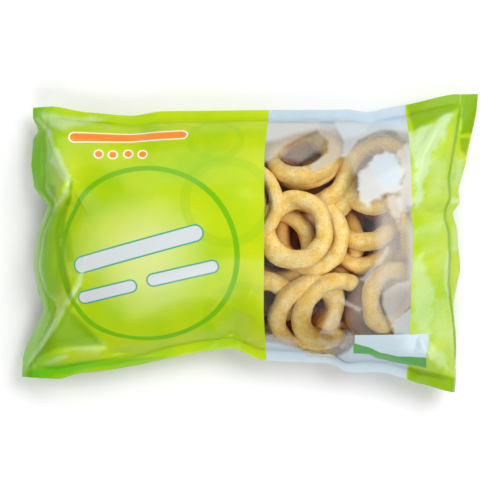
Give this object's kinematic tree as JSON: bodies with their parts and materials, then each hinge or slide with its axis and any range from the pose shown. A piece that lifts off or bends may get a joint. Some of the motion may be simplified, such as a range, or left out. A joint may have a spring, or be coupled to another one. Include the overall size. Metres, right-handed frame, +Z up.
{
  "type": "sealed bag of frozen onion rings",
  "caption": "Filled pillow bag of printed plastic film with a clear window, showing crumbed onion rings inside, lying on its back.",
  "frame": {"origin": "middle of the bag's footprint, on the surface it lies on", "axes": "+X along the bag from one end seal to the other, +Y across it to its upper long edge as the front is read, +Z up out of the printed front"},
  "size_m": [0.3806, 0.248, 0.0798],
  "materials": {
    "printed_film": "glossy plastic film printed in yellow green, with a darker green ring and pale bars",
    "clear_film": "clear plastic film, slightly hazy and bluish where its layers lie together",
    "crumb": "matte golden breadcrumb coating on frozen onion rings"
  },
  "bodies": {
    "root": {"bag": "printed_film"}
  },
  "joints": []
}
